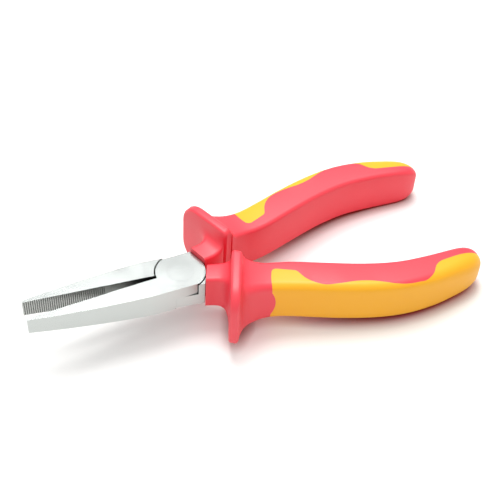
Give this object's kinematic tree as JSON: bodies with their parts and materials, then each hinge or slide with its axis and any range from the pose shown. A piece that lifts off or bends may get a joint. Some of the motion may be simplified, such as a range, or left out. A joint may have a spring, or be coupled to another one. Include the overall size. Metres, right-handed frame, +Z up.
{
  "type": "insulated flat-nose pliers",
  "caption": "Lap-joint flat-nose pliers with long tapering jaws, fine cross teeth and two-colour insulated grips with finger guards, lying partly open.",
  "frame": {"origin": "centre of the overall box in plan, on the plane the tool lies on", "axes": "+X from the jaw tips towards the grip ends, +Y towards the grip of the upper half, +Z up; the tool lies nose up by a few degrees, so the pivot axis leans from +Z towards +X by that angle"},
  "size_m": [0.159, 0.068, 0.029],
  "materials": {
    "tool_steel": "finely ground and satin chromed, edges slightly broken",
    "rivet_steel": "ground flush with the joint faces",
    "inner_insulation": "hidden under the sleeve",
    "red_insulation": "satin moulded, very fine grain",
    "yellow_inlay": "satin moulded, slightly softer than the sleeve"
  },
  "bodies": {
    "lower_half_body": {"lower_half": "tool_steel", "pivot_rivet": "rivet_steel", "lower_liner": "inner_insulation", "lower_sleeve": "red_insulation", "lower_inlay": "yellow_inlay"},
    "upper_half_body": {"upper_half": "tool_steel", "upper_liner": "inner_insulation", "upper_sleeve": "red_insulation", "upper_inlay": "yellow_inlay"}
  },
  "joints": [
    {"name": "pivot", "type": "hinge", "parent": "lower_half_body", "child": "upper_half_body", "pos_m": [-0.02495, 0, 0.01585], "axis": [0.0822, 0, 0.9966], "range_deg": [-7.6, 22]}
  ]
}
